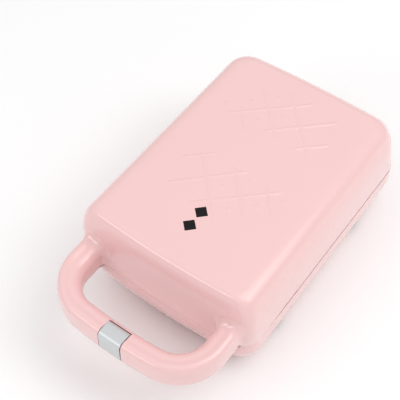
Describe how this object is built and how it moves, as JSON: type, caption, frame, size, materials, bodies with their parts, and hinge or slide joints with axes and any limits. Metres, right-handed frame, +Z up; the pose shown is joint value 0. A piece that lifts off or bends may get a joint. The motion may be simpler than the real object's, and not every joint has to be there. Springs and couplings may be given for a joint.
{
  "type": "waffle maker",
  "caption": "Glossy waffle maker with a domed hinged lid, moulded loop handle, silver latch, diamond lamp windows and ribbed lattice, on rubber feet.",
  "frame": {"origin": "middle of the whole outline, on the surface that the feet stand on", "axes": "+Z up, +X to the right, -Y towards the handle, +Y towards the hinge"},
  "size_m": [0.14, 0.2654, 0.0887],
  "materials": {
    "shell_gloss": "high-gloss moulded pink",
    "latch_satin": "satin silver paint",
    "deck_black": "heat-resistant moulding, fine spark texture",
    "plate_coating": "cast, with dark non-stick coating",
    "tube_steel": "heat-tinted steel tube",
    "pan_steel": "pressed bright sheet",
    "fastener_steel": "zinc-plated steel",
    "pin_steel": "ground steel",
    "foot_rubber": "matt grey rubber",
    "bush_rubber": "soft grey-white moulding",
    "lens_black": "smoked black lens",
    "lamp_glass": "small neon lamp",
    "ceramic": "white ceramic",
    "holder_plastic": "natural nylon",
    "spring_steel": "spring wire"
  },
  "bodies": {
    "base": {"base_housing": "shell_gloss", "catch_tongue": "deck_black", "catch_screws": "fastener_steel", "rubber_feet": "foot_rubber", "cord_bush": "bush_rubber", "terminal_block": "ceramic", "thermal_fuse": "pin_steel", "fuse_clip": "pan_steel", "hinge_pins": "pin_steel", "lower_deck": "deck_black", "lower_plate": "plate_coating", "lower_heater": "tube_steel", "lower_reflector": "pan_steel", "lower_thermostat": "ceramic", "lower_deck_screws": "fastener_steel", "lower_plate_screws": "fastener_steel"},
    "lid": {"lid_cover": "shell_gloss", "handle_liner": "shell_gloss", "liner_screws": "fastener_steel", "upper_deck": "deck_black", "upper_plate": "plate_coating", "upper_heater": "tube_steel", "upper_reflector": "pan_steel", "upper_thermostat": "ceramic", "upper_deck_screws": "fastener_steel", "upper_plate_screws": "fastener_steel", "lamp_holder": "holder_plastic", "lamp_screws": "fastener_steel", "power_window": "lens_black", "power_lamp": "lamp_glass", "ready_window": "lens_black", "ready_lamp": "lamp_glass", "latch_pin": "pin_steel", "latch_spring": "spring_steel"},
    "latch": {"latch_clip": "latch_satin"}
  },
  "joints": [
    {"name": "lid_hinge", "type": "hinge", "parent": "base", "child": "lid", "pos_m": [0, 0.12823, 0.04], "axis": [-1, 0, 0], "range_deg": [0, 100]},
    {"name": "latch_swing", "type": "hinge", "parent": "lid", "child": "latch", "pos_m": [0, -0.12367, 0.0603], "axis": [-1, 0, 0], "range_deg": [0, 40], "stiffness_Nm_per_rad": 0.02}
  ]
}
